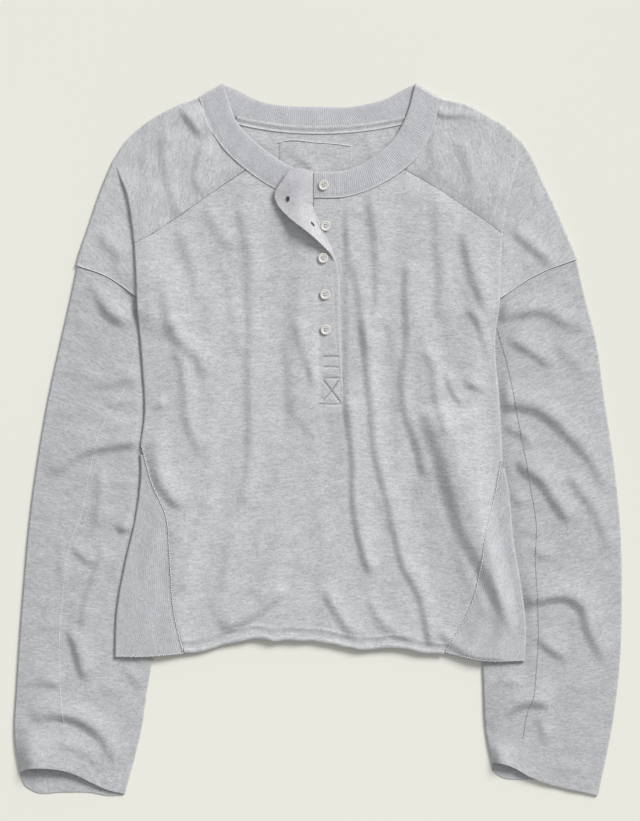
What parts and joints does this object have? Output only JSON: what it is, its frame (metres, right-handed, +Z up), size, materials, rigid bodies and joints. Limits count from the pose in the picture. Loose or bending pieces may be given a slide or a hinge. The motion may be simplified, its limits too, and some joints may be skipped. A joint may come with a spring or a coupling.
{
  "type": "long-sleeve henley shirt laid flat",
  "caption": "Cropped long-sleeve henley shirt in heather jersey, laid flat face up, with a buttoned placket, a rib collar band and side gussets.",
  "frame": {"origin": "centre of the bounding box at its base, on the surface that the shirt lies on", "axes": "+X towards the wearer's left sleeve, +Y towards the neck, +Z up, out of the shirt's front"},
  "size_m": [0.5851, 0.6854, 0.0151],
  "materials": {
    "jersey": "heather slub jersey, matt",
    "rib": "heather rib knit, matt",
    "facing": "smooth plain jersey, matt",
    "button": "cream, softly glossy"
  },
  "bodies": {
    "root": {"body_front": "jersey", "body_back": "jersey", "yoke_right": "jersey", "yoke_left": "jersey", "sleeve_right": "jersey", "sleeve_left": "jersey", "gusset_right": "rib", "gusset_left": "rib", "collar": "rib", "neck_tape": "facing", "neck_patch": "jersey", "placket_under": "jersey", "placket_facing": "facing", "button_1": "button", "button_2": "button", "button_3": "button", "button_4": "button", "button_5": "button"}
  },
  "joints": []
}
